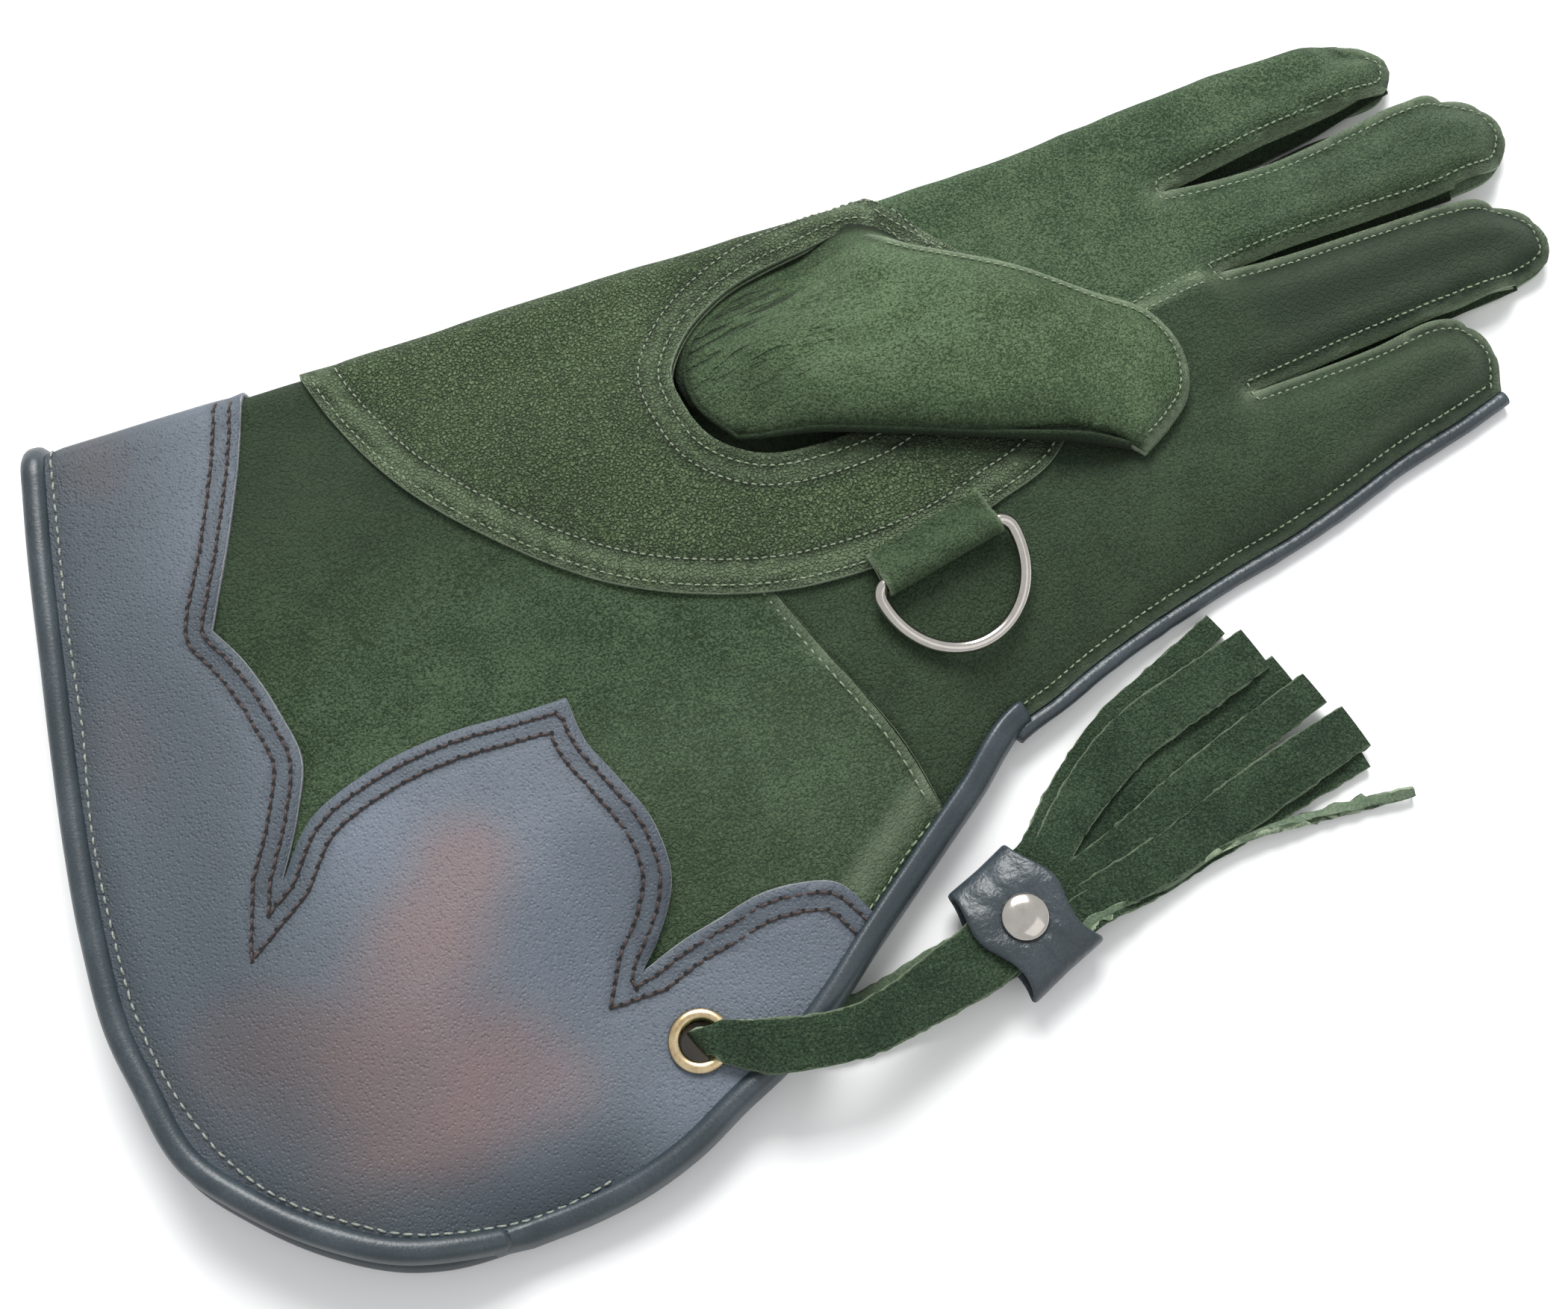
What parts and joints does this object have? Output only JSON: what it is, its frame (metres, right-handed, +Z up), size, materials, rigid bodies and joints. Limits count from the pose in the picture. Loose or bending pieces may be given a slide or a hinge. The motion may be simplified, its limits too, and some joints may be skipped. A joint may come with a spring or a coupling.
{
  "type": "falconry glove",
  "caption": "Long leather falconry glove for the left hand, with a flared gauntlet cuff, folded thumb, palm patch, D-ring on a leather loop, and a laced tassel on an eyelet.",
  "frame": {"origin": "centre of the overall box at the surface that the back of the hand lies on", "axes": "+X along the glove from the cuff's mouth to the fingertips, +Y across it to the folded index side, +Z up out of the palm"},
  "size_m": [0.4073, 0.2259, 0.0383],
  "materials": {
    "green_leather": "matte nap",
    "pebbled_green_leather": "pebbled grain",
    "lace_leather": "matte nap with pale cut edges",
    "slate_leather": "smooth satin",
    "navy_leather": "smooth satin",
    "nickel": "polished nickel plate",
    "brass": "satin brass"
  },
  "bodies": {
    "glove": {"hand_leather": "green_leather", "fourchette_index_middle": "green_leather", "fourchette_middle_ring": "green_leather", "fourchette_ring_little": "green_leather", "gauntlet_leather": "green_leather", "thumb": "green_leather", "ring_loop": "green_leather", "palm_patch": "pebbled_green_leather", "cuff_facing": "slate_leather", "cuff_binding": "navy_leather", "side_binding": "navy_leather", "hand_piping": "navy_leather", "tassel_band": "navy_leather", "lace_strap": "lace_leather", "tassel_fringe": "lace_leather", "tassel_rivet": "nickel", "eyelet": "brass"},
    "d_ring": {"d_ring": "nickel"}
  },
  "joints": [
    {"name": "d_ring_swing", "type": "hinge", "parent": "glove", "child": "d_ring", "pos_m": [0.01858, 0.00603, 0.02758], "axis": [-0.9816, -0.1908, 0], "range_deg": [0, 140]}
  ]
}
